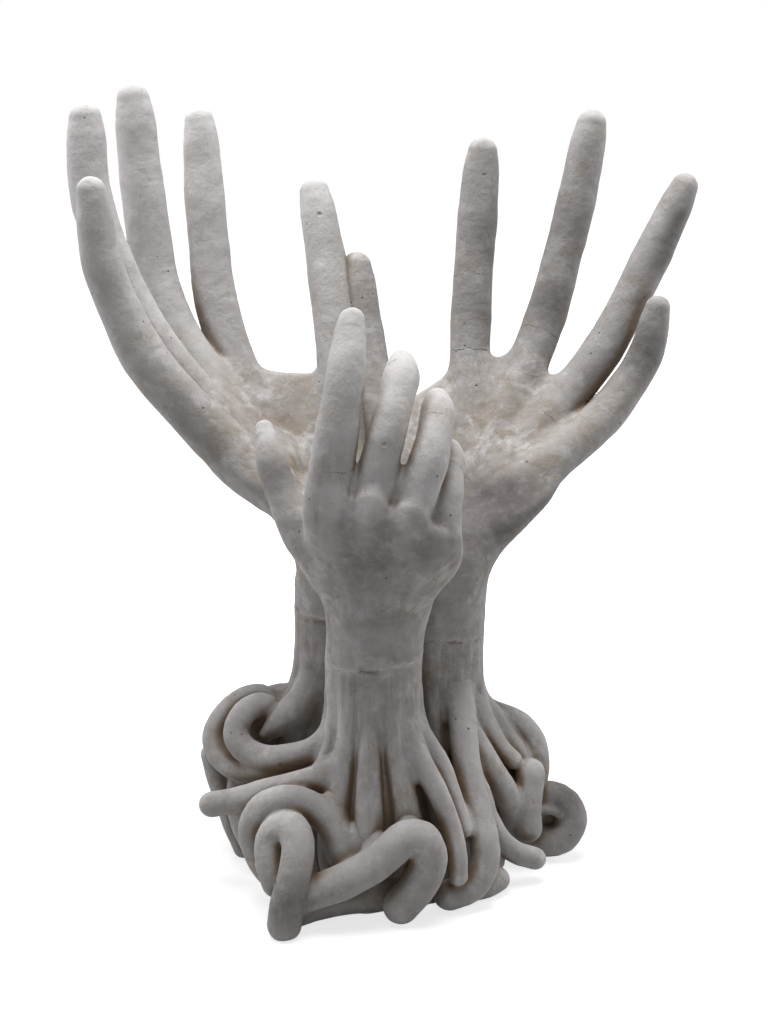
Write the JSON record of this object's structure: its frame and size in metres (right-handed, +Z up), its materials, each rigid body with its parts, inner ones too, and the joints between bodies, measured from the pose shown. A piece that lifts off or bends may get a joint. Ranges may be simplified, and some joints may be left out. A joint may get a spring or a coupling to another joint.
{
  "type": "plaster hand sculpture",
  "caption": "Free-standing plaster sculpture of open hands on fluted wrists that spread into coiled roots.",
  "frame": {"origin": "on the flat underside of the base mound, below the middle of the wrists", "axes": "+Z up through the wrists, -Y towards the viewer of the picture, +X to the viewer's right"},
  "size_m": [0.317, 0.2308, 0.3795],
  "materials": {
    "plaster_hands": "matt cast plaster with brown dust in the palms",
    "plaster_forearms": "matt cast plaster",
    "plaster_roots": "matt cast plaster with brown dust in the creases",
    "steel_rod": "rust-tinted rod, hidden"
  },
  "bodies": {
    "root": {"base_mound": "plaster_roots", "front_forearm": "plaster_forearms", "right_forearm": "plaster_forearms", "left_forearm": "plaster_forearms", "front_hand": "plaster_hands", "right_hand": "plaster_hands", "left_hand": "plaster_hands", "root_front_left_leg": "plaster_roots", "root_front_left_loop": "plaster_roots", "root_front_arch": "plaster_roots", "root_front_ground": "plaster_roots", "root_left_stub": "plaster_roots", "root_left_thick": "plaster_roots", "root_left_inner_loop": "plaster_roots", "root_left_outer_loop": "plaster_roots", "root_left_slip": "plaster_roots", "root_left_low": "plaster_roots", "root_left_behind": "plaster_roots", "root_right_drop": "plaster_roots", "root_front_flank": "plaster_roots", "root_front_sliver": "plaster_roots", "root_right_stub": "plaster_roots", "root_right_ground": "plaster_roots", "root_right_knob": "plaster_roots", "root_right_curl": "plaster_roots", "root_right_arc": "plaster_roots", "root_right_upper": "plaster_roots", "root_right_middle": "plaster_roots", "root_right_broad": "plaster_roots", "root_back_left": "plaster_roots", "root_back_left_loop": "plaster_roots", "root_back_middle": "plaster_roots", "root_back_right_loop": "plaster_roots", "root_back_right": "plaster_roots", "root_back_curl": "plaster_roots", "front_wrist_rod": "steel_rod", "right_wrist_rod": "steel_rod", "left_wrist_rod": "steel_rod"}
  },
  "joints": []
}
